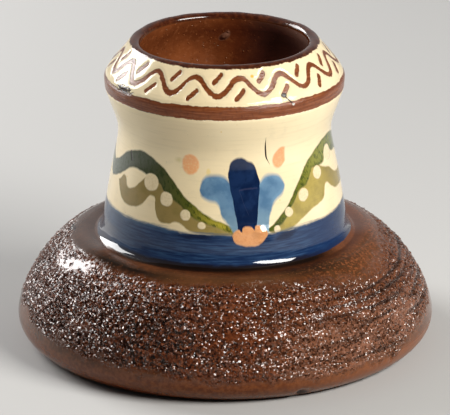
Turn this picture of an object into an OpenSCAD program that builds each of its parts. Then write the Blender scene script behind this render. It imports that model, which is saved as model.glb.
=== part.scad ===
// Match striker: a thrown earthenware pot made in one piece.
// A waisted neck with a turned-in bevel and a rounded lip holds the matches
// upright in a well. Below it a broad bell-shaped skirt, combed and roughened
// all round, is what a match is struck on. The skirt is turned out hollow
// underneath and stands on a plain ring foot.
// Millimetres, +Z up, origin at the centre of the foot's resting plane.
// The middle of the painted front faces -Y.

/* [Body] */
// Greatest diameter, low on the skirt
body_d = 100; // [90:1:110]
// Overall height, foot to lip
body_h = 74.2; // [70:0.1:80]
// Height of the skirt at the root of the neck
skirt_h = 27.2; // [25:0.1:29]

/* [Neck] */
// Diameter at the root of the neck, above the fillet
neck_root_d = 58.4; // [56:0.2:60]
// Diameter at the waist of the neck
waist_d = 51; // [49.6:0.2:53]
// Diameter at the sharp shoulder edge
shoulder_d = 57.3; // [55:0.1:60]
// Height of the scraped band just under the shoulder edge
band_h = 3.2; // [2:0.1:4]
// Radius of the fillet between the neck and the skirt
root_fillet = 3; // [1:0.1:3.4]

/* [Lip and well] */
// Outside diameter of the lip
lip_d = 45; // [43:0.2:47]
// Diameter of the mouth inside the lip
mouth_d = 40; // [38:0.2:41]
// Depth of the well, from the lip to its floor
well_depth = 47; // [40:0.5:48]
// Thickness of clay under the well's floor
floor_t = 6; // [4:0.5:8]

/* [Striking surface] */
// Number of combed rings round the skirt
comb_rings = 13; // [0:1:18]
// Depth of each combed ring
comb_depth = 0.35; // [0.05:0.05:0.5]

/* [Foot] */
// Outer diameter of the ring that the pot stands on
foot_outer_d = 89; // [86:0.5:92]
// Inner diameter of the ring that the pot stands on
foot_inner_d = 81; // [78:0.5:84]
// Height of the widest part above the table
bulge_h = 6.3; // [5:0.1:8]

/* [Hidden] */
$fn = 128;

R = body_d / 2;
shoulder_z = body_h - 8;            // height of the sharp edge of the bevel
band_z = shoulder_z - band_h;       // lower edge of the scraped band
floor_z = body_h - well_depth;      // floor of the well
under_z = floor_z - floor_t;        // highest point of the hollow underneath
root_r = neck_root_d / 2;
waist_r = waist_d / 2;
shoulder_r = shoulder_d / 2;
lip_r = lip_d / 2;
mouth_r = mouth_d / 2;

// Cubic Bezier through a and d, with handles b and c.
function bez(a, b, c, d, t) =
    pow(1 - t, 3) * a + 3 * pow(1 - t, 2) * t * b + 3 * (1 - t) * t * t * c + t * t * t * d;
function bez_slope(a, b, c, d, t) =
    3 * pow(1 - t, 2) * (b - a) + 6 * (1 - t) * t * (c - b) + 3 * t * t * (d - c);
function unit(v) = v / norm(v);

// Smooth curve through every point of p: Catmull-Rom, n steps for each span.
function at(p, i) = p[max(0, min(len(p) - 1, i))];
function cr(a, b, c, d, t) =
    0.5 * (2 * b + (c - a) * t + (2 * a - 5 * b + 4 * c - d) * t * t + (3 * b - a - 3 * c + d) * t * t * t);
function smooth(p, n) = [
    for (i = [0 : len(p) - 2]) for (k = [0 : n - 1])
        cr(at(p, i - 1), at(p, i), at(p, i + 1), at(p, i + 2), k / n),
    p[len(p) - 1]];

// Foot: a soft roll from the resting ring out to the widest part.
foot = [for (k = [0 : 6]) bez([foot_outer_d / 2, 0], [R - 3.2, 0.7], [R, 2.9], [R, bulge_h], k / 6)];

// Skirt: one long curve in to the root of the neck, with the combed rings
// cut into its middle stretch and dying away at both ends.
sk_a = [R, bulge_h];
sk_b = [R, bulge_h + 5.5];
sk_c = [R - 8, skirt_h - 0.3];
sk_d = [root_r + root_fillet, skirt_h];
comb_from = 0.06;
comb_to = 0.74;
function comb(t) = t < comb_from || t > comb_to ? 0 :
    let (u = (t - comb_from) / (comb_to - comb_from))
    comb_depth * min(1, 6 * u, 6 * (1 - u)) * (0.5 - 0.5 * cos(360 * comb_rings * u));
skirt_steps = max(24, comb_rings * 8);
skirt = [for (k = [1 : skirt_steps])
    let (t = k / skirt_steps, d = unit(bez_slope(sk_a, sk_b, sk_c, sk_d, t)))
    bez(sk_a, sk_b, sk_c, sk_d, t) - comb(t) * [d[1], -d[0]]];

// Hollow fillet from the skirt up to the neck.
fillet = [for (k = [1 : 6]) let (a = 90 * k / 6)
    [root_r + root_fillet - root_fillet * sin(a), skirt_h + root_fillet - root_fillet * cos(a)]];

// Neck: a slow taper up to the waist, then a short flare to the shoulder.
neck_low = skirt_h + root_fillet;
waist_z = band_z - 10.6;
neck = smooth([
    [root_r, neck_low],
    [root_r - 0.6, neck_low + 4.4],
    [root_r - 1.8, neck_low + 11.4],
    [waist_r + 0.75, waist_z - 5.2],
    [waist_r + 0.12, waist_z - 1.6],
    [waist_r + 0.12, waist_z + 1.4],
    [waist_r + 0.85, waist_z + 4.2],
    [waist_r + 1.95, waist_z + 7.2],
    [shoulder_r - 0.4, band_z - 0.9],
    [shoulder_r - 0.15, band_z]], 4);

// Scraped band, sharp edge, straight bevel and rounded lip.
top = [
    [shoulder_r - 0.05, shoulder_z - 0.9],
    [shoulder_r, shoulder_z - 0.4],
    [shoulder_r - 0.2, shoulder_z],
    [lip_r + 0.25, body_h - 0.75],
    [lip_r - 0.1, body_h - 0.35],
    [lip_r - 0.6, body_h - 0.08],
    [(lip_r + mouth_r) / 2 + 0.3, body_h],
    [mouth_r + 0.9, body_h - 0.08],
    [mouth_r + 0.35, body_h - 0.35],
    [mouth_r + 0.05, body_h - 0.85]];

// Well: the wall follows the neck outside, with a rounded floor.
well = smooth([
    [mouth_r, body_h - 1.4],
    [mouth_r + 0.4, body_h - 3.2],
    [mouth_r + 2.2, body_h - 6.2],
    [mouth_r + 2.8, shoulder_z - 1.5],
    [mouth_r + 2.3, band_z - 1.8],
    [mouth_r + 1.0, waist_z + 2.2],
    [mouth_r + 0.9, waist_z - 2.5],
    [mouth_r + 2.1, floor_z + 15],
    [mouth_r + 2.9, floor_z + 7],
    [mouth_r + 2.4, floor_z + 3],
    [mouth_r + 0.2, floor_z + 0.7],
    [mouth_r - 3, floor_z]], 4);

// Hollow underneath, turned out to an even wall.
under = smooth([
    [0, under_z],
    [20, under_z - 0.4],
    [30, under_z - 1.4],
    [R - 15.5, under_z - 4],
    [R - 10.6, under_z - 8],
    [R - 7.8, under_z - 13],
    [R - 7.3, 4.5],
    [foot_inner_d / 2 + 0.9, 1.1],
    [foot_inner_d / 2, 0]], 4);

module body() {
    color("sienna")
    rotate_extrude()
    polygon(concat(under, foot, skirt, fillet, neck, top, well, [[0, floor_z]]));
}

body();
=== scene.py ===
import bpy
import math
import numpy as np
from mathutils import Matrix, Vector


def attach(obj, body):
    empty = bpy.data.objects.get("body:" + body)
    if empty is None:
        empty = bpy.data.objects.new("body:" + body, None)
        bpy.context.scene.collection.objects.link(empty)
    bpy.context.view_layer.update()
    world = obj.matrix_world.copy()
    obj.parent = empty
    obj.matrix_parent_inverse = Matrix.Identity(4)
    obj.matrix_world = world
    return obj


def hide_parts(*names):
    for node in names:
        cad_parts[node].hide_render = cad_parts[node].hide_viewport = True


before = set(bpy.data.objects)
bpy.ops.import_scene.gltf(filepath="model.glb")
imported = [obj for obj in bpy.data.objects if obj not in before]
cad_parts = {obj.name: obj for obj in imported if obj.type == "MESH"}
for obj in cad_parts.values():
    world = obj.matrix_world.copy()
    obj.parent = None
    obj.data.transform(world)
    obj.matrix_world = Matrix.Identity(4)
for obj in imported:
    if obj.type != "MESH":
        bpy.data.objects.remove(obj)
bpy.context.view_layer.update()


scene = bpy.context.scene
MM = 0.001

# ---------------------------------------------------------------- camera
# The photograph's view: 1 m away, 19.37 degrees above the table, turned 12 degrees to the left of the flower.
TURN = math.radians(-12.0)
ELEV = math.radians(19.37)
ROLL = math.radians(-0.13)


def turned(v):
    x, y, z = v
    return Vector((x * math.cos(TURN) - y * math.sin(TURN), x * math.sin(TURN) + y * math.cos(TURN), z))


cam_data = bpy.data.cameras.new("view")
cam = bpy.data.objects.new("view", cam_data)
scene.collection.objects.link(cam)
scene.camera = cam
cam_data.sensor_fit = "HORIZONTAL"
cam_data.sensor_width = 36.0
cam_data.lens = 333.4
cam_data.clip_start = 0.05
cam_data.clip_end = 20
eye = turned((0, -1.0 * math.cos(ELEV), 0.03178 + 1.0 * math.sin(ELEV)))
fwd = turned((0, math.cos(ELEV), -math.sin(ELEV)))
up0 = turned((0, math.sin(ELEV), math.cos(ELEV)))
rt0 = turned((1, 0, 0))
rt = rt0 * math.cos(ROLL) + up0 * math.sin(ROLL)
up = -rt0 * math.sin(ROLL) + up0 * math.cos(ROLL)
cam.matrix_world = Matrix(((rt.x, up.x, -fwd.x, eye.x), (rt.y, up.y, -fwd.y, eye.y), (rt.z, up.z, -fwd.z, eye.z), (0, 0, 0, 1)))

# ---------------------------------------------------------------- profile of the pot, in mm, as in the CAD


def bez(p, n):
    a, b, c, d = (np.array(q, float) for q in p)
    t = np.linspace(0, 1, n)[:, None]
    return (1 - t) ** 3 * a + 3 * (1 - t) ** 2 * t * b + 3 * (1 - t) * t * t * c + t**3 * d


def spline(p, n=12):
    p = [np.array(q, float) for q in p]
    out = []
    for i in range(len(p) - 1):
        a, b, c, d = p[max(0, i - 1)], p[i], p[i + 1], p[min(len(p) - 1, i + 2)]
        for k in range(n):
            t = k / n
            out.append(0.5 * (2 * b + (c - a) * t + (2 * a - 5 * b + 4 * c - d) * t * t + (3 * b - a - 3 * c + d) * t**3))
    out.append(p[-1])
    return np.array(out)


def even(p, rows):
    """rows + 1 points at equal steps along the path"""
    p = np.asarray(p, float)
    s = np.concatenate([[0], np.cumsum(np.hypot(*np.diff(p, axis=0).T))])
    q = np.linspace(0, s[-1], rows + 1)
    return np.stack([np.interp(q, s, p[:, 0]), np.interp(q, s, p[:, 1])], 1)


well = spline([(0, 27.2), (9, 27.2), (17, 27.25), (20.2, 28.0), (22.3, 30.4), (22.9, 34.2), (22.1, 42.2), (20.9, 49.9), (21.0, 54.6), (22.3, 61.2), (22.8, 64.7), (22.2, 68.0), (20.5, 71.0), (20.0, 72.7)])
lip = spline([(20.0, 72.7), (20.07, 73.35), (20.36, 73.85), (20.9, 74.12), (21.5, 74.2), (22.0, 74.1), (22.45, 73.8), (22.85, 73.35)])
bevel = spline([(22.85, 73.35), (24.7, 71.05), (26.6, 68.75), (27.55, 67.5), (28.25, 66.35)])
shoulder = spline([(28.25, 66.35), (28.5, 65.9), (28.64, 65.4), (28.65, 64.9), (28.5, 63.0)])
neck = spline([(28.5, 63.0), (28.25, 62.1), (27.45, 59.6), (26.35, 56.6), (25.62, 53.8), (25.62, 50.8), (26.25, 47.2), (27.4, 41.6), (28.6, 34.6), (29.05, 31.6)])
bead = spline([(29.05, 31.6), (29.18, 30.6), (29.32, 29.8), (29.5, 29.0), (29.72, 28.42), (30.0, 27.9), (30.34, 27.46), (30.7, 27.1), (31.1, 26.82), (31.32, 26.72)])
crease = np.array([(31.32, 26.72), (31.37, 26.69), (31.46, 26.69)])
hill = bez([(50, 6.3), (50, 11.8), (42, 26.9), (32.2, 27.2)], 400)[::-1]
edge_r = hill[hill[:, 0] >= 36.6]
shelf = spline([(31.46, 26.69), (32.4, 26.82), (33.6, 26.87), (35.0, 26.66), tuple(edge_r[0]), tuple(edge_r[12])])[:-12]
rough = edge_r
foot = bez([(50, 6.3), (50, 2.9), (46.8, 0.7), (44.5, 0)], 60)
flat = np.array([(44.5, 0), (40.5, 0)])
under = spline([(40.5, 0), (41.4, 1.1), (42.7, 4.5), (42.2, 8.2), (39.4, 13.2), (34.5, 17.2), (30, 19.8), (20, 20.8), (8, 21.15), (0, 21.2)])

N1, N3 = 280, 840
PARTS = [  # path, rows, ring count, share of the texture for a mm of path
    ("well", well, 20, N1, 0.55),
    ("lip", lip, 10, N1, 1.5),
    ("bevel", bevel, 9, N1, 1.6),
    ("shoulder", shoulder, 6, N1, 1.6),
    ("neck", neck, 18, N1, 1.5),
    ("bead", bead, 18, N1, 1.5),
    ("crease", crease, 2, N1, 1.5),
    ("shelf", shelf, 7, N1, 1.4),
    ("rough", rough, 70, N3, 1.4),
    ("foot", foot, 9, N3, 1.2),
    ("flat", flat, 2, N1, 0.8),
    ("under", under, 14, N1, 0.4),
]

pts, tag, tex = [], [], []
for name, path, rows, n, share in PARTS:
    q = even(path, rows)
    start = 0 if not pts else 1
    for k in range(start, rows + 1):
        step = 0 if not pts else math.hypot(*(q[k] - pts[-1]))
        pts.append(q[k])
        tag.append((name, n))
        tex.append((tex[-1] if tex else 0) + step * share)
pts = np.array(pts)
tex = np.array(tex) / tex[-1]
names = np.array([t[0] for t in tag])
arc = np.concatenate([[0], np.cumsum(np.hypot(*np.diff(pts, axis=0).T))])
tan = np.gradient(pts, axis=0)
tan /= np.maximum(np.hypot(tan[:, 0], tan[:, 1]), 1e-9)[:, None]
nrm = np.stack([-tan[:, 1], tan[:, 0]], 1)

# ---------------------------------------------------------------- relief of the clay


def hills(rows, cols, dv, du, lv, lu, seed, sharp=False):
    """smooth noise of unit spread with features lv mm across and lu mm along the turning; it closes on itself round the pot"""
    rng = np.random.default_rng(seed)
    pad = rows + 2 * int(3 * lv / dv) + 2
    w = rng.standard_normal((pad, cols))
    fv = np.fft.fftfreq(pad, dv)[:, None]
    fu = np.fft.fftfreq(cols, du)[None, :]
    k2 = (fv * lv) ** 2 + (fu * lu) ** 2
    g = np.exp(-k2 * 4.0)
    if sharp:
        g = g * k2
    out = np.fft.ifft2(np.fft.fft2(w) * g).real[:rows]
    return (out - out.mean()) / out.std()


def smooth(x, a, b):
    t = np.clip((x - a) / (b - a), 0, 1)
    return t * t * (3 - 2 * t)


def around(deg, table):
    a = np.array(table, float)
    return np.interp(deg, a[:, 0], a[:, 1], period=360)


sk = np.where((names == "rough") | (names == "foot"))[0]
sk0 = sk[0] - 1
rows_sk = len(sk) + 1
th3 = -180 + 360 * np.arange(N3) / N3
s_sk = arc[sk0 : sk0 + rows_sk] - arc[sk0]
dv = s_sk[60] / 60
du = 2 * math.pi * 44 / N3

# where the roughened surface starts (distance from the axis) and stops (height above the table), round the pot
r_on = around(th3, [(-125, 37.2), (-110, 35.9), (-98, 37.8), (-80, 37.2), (-65, 36.9), (-40, 37.5), (-12, 37.1), (14, 37.2), (26, 38.8), (39, 40.4), (54, 39.2), (70, 37.6), (83, 36.4), (115, 36.8), (150, 38.2), (180, 39.0), (215, 38.0), (240, 37.6)])
z_off = around(th3, [(-90, 10.6), (-75, 10.2), (-55, 8.8), (-32, 7.7), (-12, 6.5), (8, 5.8), (24, 6.3), (44, 6.9), (55, 8.8), (67, 10.6), (100, 10.2), (140, 8.6), (180, 8.2), (220, 9.0), (245, 10.0)])
rr, zz = pts[sk0 : sk0 + rows_sk, 0], pts[sk0 : sk0 + rows_sk, 1]
s_on = np.interp(r_on, rr[: 60], s_sk[: 60])
s_off = np.interp(-z_off, -zz, s_sk)
edge = hills(rows_sk, N3, dv, du, 1.6, 2.6, 11)
S = s_sk[:, None] + 0.0 * th3[None, :]
edge2 = hills(rows_sk, N3, dv, du, 0.7, 1.1, 22)
right = smooth(np.cos(np.radians(np.broadcast_to(th3[None, :], S.shape) - 55)), 0.2, 0.9)
on = smooth((S - s_on[None, :] + 0.55 * edge + 0.3 * edge2) / (1 + 1.6 * right), -0.8, 1.4)
off = smooth(s_off[None, :] - S + 0.5 * edge + 0.45 * edge2, -1.2, 1.3)
mask = on * off

drift = hills(rows_sk, N3, dv, du, 5.0, 26.0, 12)
drift2 = hills(rows_sk, N3, dv, du, 2.2, 9.0, 13)
strong = np.clip(0.62 + 0.42 * hills(rows_sk, N3, dv, du, 3.0, 13.0, 14), 0.08, 1.3)
ph = 2 * math.pi * (S + 0.75 * drift + 0.26 * drift2) / 2.75
comb = np.cos(ph)
comb = np.where(comb < 0, -np.abs(comb) ** 1.3, np.abs(comb) ** 0.6)
ph2 = 2 * math.pi * (S + 0.9 * drift) / 4.3 + 0.8
steps = np.cos(ph2 + 0.45 * np.sin(ph2))
grain = hills(rows_sk, N3, dv, du, 0.55, 0.68, 15, True)
grain2 = hills(rows_sk, N3, dv, du, 0.85, 1.3, 16, True)
ragged = hills(rows_sk, N3, dv, du, 0.55, 2.6, 17, True)
calm = 0.6 * smooth(hills(rows_sk, N3, dv, du, 1.6, 5.0, 18), 1.0, 2.0)
TH = np.broadcast_to(th3[None, :], S.shape)
calm = np.maximum(calm, 0.96 * np.exp(-(((TH + 73.5) / 13.5) ** 6) - ((S - 1.4 - 0.215 * (-63 - TH)) / 2.1) ** 4) * smooth(hills(rows_sk, N3, dv, du, 0.8, 1.4, 23), -0.75, -0.1))
right = smooth(np.cos(np.radians(TH - 75)), 0.2, 0.9)
# mostly shallow, with now and then a steep pit or crumb
jag = (0.072 * grain + 0.055 * grain2 + 0.040 * ragged) / 0.099
jag = 0.078 * jag * np.abs(jag) ** 0.35 * (1 + 0.35 * right)
jag = np.where(jag < 0, jag * 1.35, jag * 0.85)
pit = -0.24 * smooth(hills(rows_sk, N3, dv, du, 0.62, 0.8, 19, True), 1.5, 2.6)
relief = mask * ((0.040 + 0.100 * right) * strong * comb + (0.045 + 0.05 * right) * steps + (1 - 0.82 * calm) * (jag + pit) - 0.03)
edge_band = np.exp(-(((S - s_on[None, :] + 0.3) / 0.9) ** 2))
relief += 0.03 * edge_band * hills(rows_sk, N3, dv, du, 1.0, 5.0, 20)
relief += (1 - mask) * 0.022 * hills(rows_sk, N3, dv, du, 1.8, 18.0, 21)
fade = smooth(s_sk, 0, 0.8)[:, None]
relief *= fade
# the chip in the foot's edge
Zs = zz[:, None] + 0.0 * TH
along = (TH - 9.6) * math.radians(1) * 49
relief -= 1.05 * np.exp(-((along / 0.95) ** 2) - ((Zs - 1.7) / 0.75) ** 2)
relief -= 0.35 * np.exp(-(((along - 1.6) / 0.9) ** 2) - ((Zs - 1.9) / 0.6) ** 2)
A_calm3 = calm
furrow = mask * right * smooth(-comb, 0.15, 0.8) * smooth(strong, 0.25, 0.85)
# how far each point stands over or under its neighbourhood
box = np.fft.ifft2(np.fft.fft2(relief) * np.exp(-((np.fft.fftfreq(rows_sk, dv)[:, None]) ** 2 + (np.fft.fftfreq(N3, du)[None, :]) ** 2) * 4 * 1.1**2)).real
cav3 = np.clip((relief - box) / 0.17, -1.6, 1.6) * mask

# ---------------------------------------------------------------- one closed mesh
verts, rings = [], []
A_cav, A_rough, A_out, A_pool, A_calm, A_fur = [], [], [], [], [], []
count = 0
for i, (p, nm) in enumerate(zip(pts, tag)):
    if p[0] < 1e-6:
        verts.append(np.array([[0, 0, p[1]]]))
        rings.append((count, 1))
        for arr in (A_cav, A_rough, A_out, A_pool, A_calm, A_fur):
            arr.append(np.zeros(1))
        count += 1
        continue
    n = nm[1]
    if nm[0] == "shelf" and i + 1 < len(tag) and tag[i + 1][0] == "rough":
        n = N3
    a = np.radians(-180 + 360 * np.arange(n) / n)
    h = np.zeros(n)
    cav = np.zeros(n)
    ro = np.zeros(n)
    ca = np.zeros(n)
    fu = np.zeros(n)
    if sk0 <= i < sk0 + rows_sk:
        k = i - sk0
        st = N3 // n
        h = relief[k, ::st]
        cav = cav3[k, ::st]
        ro = mask[k, ::st]
        ca = A_calm3[k, ::st]
        fu = furrow[k, ::st]
    # thrown by hand: a little out of round, the same inside and out
    wob = 0.10 * np.cos(2 * a + 0.7) + 0.06 * np.cos(3 * a - 1.1) + 0.05 * math.sin(p[1] / 9.0) * np.cos(a * 2 + 2.2)
    wob = wob * min(1.0, p[0] / 20) * (0.35 if p[1] < 12 else 1.0)
    lift = 0.0
    if nm[0] in ("lip", "bevel") or (nm[0] == "well" and p[1] > 66):
        t = smooth(p[1], 66, 74)
        lift = t * (0.10 * np.cos(a * 2 - 0.4) + 0.06 * np.cos(a * 3 + 1.9) + 0.03 * np.cos(a * 7))
    if nm[0] == "bead":
        w = math.exp(-(((p[1] - 27.8) / 0.9) ** 2))
        h = h + w * (0.10 * np.cos(a * 2 - 0.5) + 0.08 * np.cos(a * 5 + 1.0) + 0.05 * np.cos(a * 9 + 0.3) + 0.03 * np.cos(a * 17 + 2.3))
    if nm[0] == "lip":
        w = math.exp(-(((p[0] - 22.2) / 0.6) ** 2))
        h = h + w * (0.03 * np.cos(a * 13 + 0.4) + 0.03 * np.cos(a * 22 + 1.7))
        # a drop of glaze that ran down inside the front of the rim
        h = h + 0.35 * np.exp(-(((np.degrees(a) + 11) / 2.0) ** 2)) * math.exp(-(((p[0] - 20.2) / 0.5) ** 2))
    rad = p[0] + nrm[i, 0] * h + wob
    hz = p[1] + nrm[i, 1] * h + lift
    if nm[0] in ("flat",) or (nm[0] == "foot" and p[1] < 1e-6):
        hz = np.zeros(n) + 0.0
    v = np.stack([rad * np.sin(a), -rad * np.cos(a), np.maximum(hz + 0.0 * a, 0.0)], 1)
    verts.append(v)
    rings.append((count, n))
    A_cav.append(cav)
    A_rough.append(ro)
    A_calm.append(ca)
    A_fur.append(fu)
    A_out.append(np.full(n, 0.0 if nm[0] in ("well", "under", "flat") else 1.0))
    pool = np.zeros(n)
    if nm[0] in ("shelf", "rough"):
        on_r = np.interp(np.degrees(a), th3, r_on, period=360)
        off_r = around(np.degrees(a), [(-64, 1.5), (-14, 1.5), (4, 2.4), (18, 3.4), (40, 4.4), (90, 3), (180, 2), (240, 1.5)])
        pool = np.exp(-(((p[0] - (on_r - off_r)) / 1.8) ** 2)) * around(np.degrees(a), [(-80, 0.25), (-64, 1.0), (-35, 1.0), (-18, 0.35), (0, 0.32), (15, 0.95), (32, 0.55), (48, 0.15), (120, 0.2), (160, 0.6), (220, 0.3), (260, 0.2)])
    A_pool.append(pool)
    count += n
verts = np.concatenate(verts) * MM
A_cav, A_rough, A_out, A_pool, A_calm, A_fur = (np.concatenate(x) for x in (A_cav, A_rough, A_out, A_pool, A_calm, A_fur))

faces, uvs = [], []


def face(idx, uv):
    faces.append(idx)
    uvs.extend(uv)


for i in range(len(rings) - 1):
    (a0, na), (b0, nb) = rings[i], rings[i + 1]
    va, vb = 1 - tex[i], 1 - tex[i + 1]
    n = max(na, nb)
    if na == nb:
        for k in range(na):
            k2 = (k + 1) % na
            u0, u1 = k / na, (k + 1) / na
            face((a0 + k, b0 + k, b0 + k2, a0 + k2), [(u0, va), (u0, vb), (u1, vb), (u1, va)])
    elif na == 1:
        for k in range(nb):
            u0, u1 = k / nb, (k + 1) / nb
            face((a0, b0 + k, b0 + (k + 1) % nb), [((u0 + u1) / 2, va), (u0, vb), (u1, vb)])
    elif nb == 1:
        for k in range(na):
            u0, u1 = k / na, (k + 1) / na
            face((a0 + k, b0, a0 + (k + 1) % na), [(u0, va), ((u0 + u1) / 2, vb), (u1, va)])
    elif nb == 3 * na:
        for k in range(na):
            k2 = (k + 1) % na
            f = [b0 + (3 * k + j) % nb for j in range(4)]
            u = [(3 * k + j) / nb for j in range(4)]
            ua, ub = k / na, (k + 1) / na
            face((a0 + k, f[0], f[1]), [(ua, va), (u[0], vb), (u[1], vb)])
            face((a0 + k, f[1], f[2], a0 + k2), [(ua, va), (u[1], vb), (u[2], vb), (ub, va)])
            face((a0 + k2, f[2], f[3]), [(ub, va), (u[2], vb), (u[3], vb)])
    elif na == 3 * nb:
        for k in range(nb):
            k2 = (k + 1) % nb
            f = [a0 + (3 * k + j) % na for j in range(4)]
            u = [(3 * k + j) / na for j in range(4)]
            ua, ub = k / nb, (k + 1) / nb
            face((b0 + k, f[1], f[0]), [(ua, vb), (u[1], va), (u[0], va)])
            face((b0 + k, b0 + k2, f[2], f[1]), [(ua, vb), (ub, vb), (u[2], va), (u[1], va)])
            face((b0 + k2, f[3], f[2]), [(ub, vb), (u[3], va), (u[2], va)])

me = bpy.data.meshes.new("striker_pot")
me.from_pydata([tuple(v) for v in verts], [], faces)
me.validate()
pot = bpy.data.objects.new("striker_pot", me)
scene.collection.objects.link(pot)
lay = me.uv_layers.new(name="OFBake")
lay.data.foreach_set("uv", np.array(uvs, np.float32).ravel())
for nm, arr in (("a_cav", A_cav), ("a_rough", A_rough), ("a_out", A_out), ("a_pool", A_pool), ("a_calm", A_calm), ("a_fur", A_fur)):
    at = me.attributes.new(nm, "FLOAT", "POINT")
    at.data.foreach_set("value", arr.astype(np.float32))
me.polygons.foreach_set("use_smooth", np.ones(len(me.polygons), bool))
me.update()
print("triangles", sum(len(f) - 2 for f in faces), "verts", len(verts))

# ---------------------------------------------------------------- node helpers


class Num:
    """a number in the node tree, with the usual arithmetic"""

    def __init__(self, g, s):
        self.g, self.s = g, s

    def _m(self, op, *a):
        return self.g.math(op, *a)

    def __add__(self, o):
        return self._m("ADD", self, o)

    __radd__ = __add__

    def __sub__(self, o):
        return self._m("SUBTRACT", self, o)

    def __rsub__(self, o):
        return self._m("SUBTRACT", o, self)

    def __mul__(self, o):
        return self._m("MULTIPLY", self, o)

    __rmul__ = __mul__

    def __truediv__(self, o):
        return self._m("DIVIDE", self, o)

    def __neg__(self):
        return self._m("MULTIPLY", self, -1.0)


class Graph:
    def __init__(self, tree):
        self.t = tree
        self.n = 0

    def node(self, kind):
        nd = self.t.nodes.new(kind)
        nd.location = (self.n % 40 * 180, -(self.n // 40) * 220)
        self.n += 1
        return nd

    def put(self, sock, v):
        if isinstance(v, Num):
            self.t.links.new(v.s, sock)
        elif isinstance(v, bpy.types.NodeSocket):
            self.t.links.new(v, sock)
        elif isinstance(v, (tuple, list)):
            sock.default_value = tuple(v) + (1.0,) if len(sock.default_value) == 4 and len(v) == 3 else tuple(v)
        else:
            sock.default_value = v

    def math(self, op, *a):
        nd = self.node("ShaderNodeMath")
        nd.operation = op
        for k, v in enumerate(a):
            self.put(nd.inputs[k], v)
        return Num(self, nd.outputs[0])

    def mn(self, a, b):
        return self.math("MINIMUM", a, b)

    def mx(self, a, b):
        return self.math("MAXIMUM", a, b)

    def ab(self, a):
        return self.math("ABSOLUTE", a)

    def ramp(self, x, a, b, c=0.0, d=1.0, soft=True):
        nd = self.node("ShaderNodeMapRange")
        nd.interpolation_type = "SMOOTHSTEP" if soft else "LINEAR"
        nd.clamp = True
        self.put(nd.inputs[0], x)
        for k, v in enumerate((a, b, c, d)):
            self.put(nd.inputs[k + 1], v)
        return Num(self, nd.outputs[0])

    def edge(self, d, w=0.14):
        """1 inside a shape, 0 outside, from a distance in mm"""
        return self.ramp(d, -w / 2, w / 2, soft=False)

    def curve(self, x, p, lo=None, hi=None, linear=False):
        """a drawn line: y for x, through the given points"""
        xs = [q[0] for q in p]
        ys = [q[1] for q in p]
        lo = xs[0] if lo is None else lo
        hi = xs[-1] if hi is None else hi
        y0, y1 = min(ys), max(ys)
        pad = (y1 - y0) * 0.08 + 1e-3
        y0, y1 = y0 - pad, y1 + pad
        nd = self.node("ShaderNodeFloatCurve")
        self.put(nd.inputs["Value"], self.ramp(x, lo, hi, soft=False))
        cv = nd.mapping.curves[0]
        q = [((a - lo) / (hi - lo), (b - y0) / (y1 - y0)) for a, b in p]
        cv.points[0].location = q[0]
        cv.points[1].location = q[-1]
        for a in q[1:-1]:
            cv.points.new(*a)
        for a in cv.points:
            a.handle_type = "VECTOR" if linear else "AUTO_CLAMPED"
        nd.mapping.update()
        return Num(self, nd.outputs[0]) * (y1 - y0) + y0

    def vec(self, x, y, z):
        nd = self.node("ShaderNodeCombineXYZ")
        for k, v in enumerate((x, y, z)):
            self.put(nd.inputs[k], v)
        return nd.outputs[0]

    def noise(self, v, scale, detail=2.0, rough=0.5, dist=0.0):
        nd = self.node("ShaderNodeTexNoise")
        nd.noise_dimensions = "3D"
        self.put(nd.inputs["Vector"], v)
        nd.inputs["Scale"].default_value = scale
        nd.inputs["Detail"].default_value = detail
        nd.inputs["Roughness"].default_value = rough
        nd.inputs["Distortion"].default_value = dist
        return Num(self, nd.outputs[0])

    def cells(self, v, scale, rand=1.0, kind="F1"):
        nd = self.node("ShaderNodeTexVoronoi")
        nd.feature = kind
        self.put(nd.inputs["Vector"], v)
        nd.inputs["Scale"].default_value = scale
        nd.inputs["Randomness"].default_value = rand
        return Num(self, nd.outputs["Distance"]), nd.outputs["Color"]

    def facets(self, v, scale):
        """height over small flat facets, each tilted its own way, and a chance value from 0 to 1 for each"""
        nd = self.node("ShaderNodeTexVoronoi")
        self.put(nd.inputs["Vector"], v)
        nd.inputs["Scale"].default_value = scale
        off = self.node("ShaderNodeVectorMath")
        off.operation = "SUBTRACT"
        self.put(off.inputs[0], v)
        self.put(off.inputs[1], nd.outputs["Position"])
        tilt = self.node("ShaderNodeVectorMath")
        tilt.operation = "SUBTRACT"
        self.put(tilt.inputs[0], nd.outputs["Color"])
        tilt.inputs[1].default_value = (0.5, 0.5, 0.5)
        dot = self.node("ShaderNodeVectorMath")
        dot.operation = "DOT_PRODUCT"
        self.put(dot.inputs[0], off.outputs[0])
        self.put(dot.inputs[1], tilt.outputs[0])
        pick = self.node("ShaderNodeVectorMath")
        pick.operation = "DOT_PRODUCT"
        self.put(pick.inputs[0], nd.outputs["Color"])
        pick.inputs[1].default_value = (7.13, 11.71, 5.37)
        return Num(self, dot.outputs["Value"]), self.math("FRACT", Num(self, pick.outputs["Value"]))

    def mix(self, fac, a, b, blend="MIX"):
        nd = self.node("ShaderNodeMix")
        nd.data_type = "RGBA"
        nd.blend_type = blend
        nd.clamp_factor = True
        self.put(nd.inputs[0], fac)
        self.put(nd.inputs[6], a)
        self.put(nd.inputs[7], b)
        return nd.outputs[2]

    def mixf(self, fac, a, b):
        nd = self.node("ShaderNodeMix")
        nd.data_type = "FLOAT"
        self.put(nd.inputs[0], fac)
        self.put(nd.inputs[2], a)
        self.put(nd.inputs[3], b)
        return Num(self, nd.outputs[0])

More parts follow.
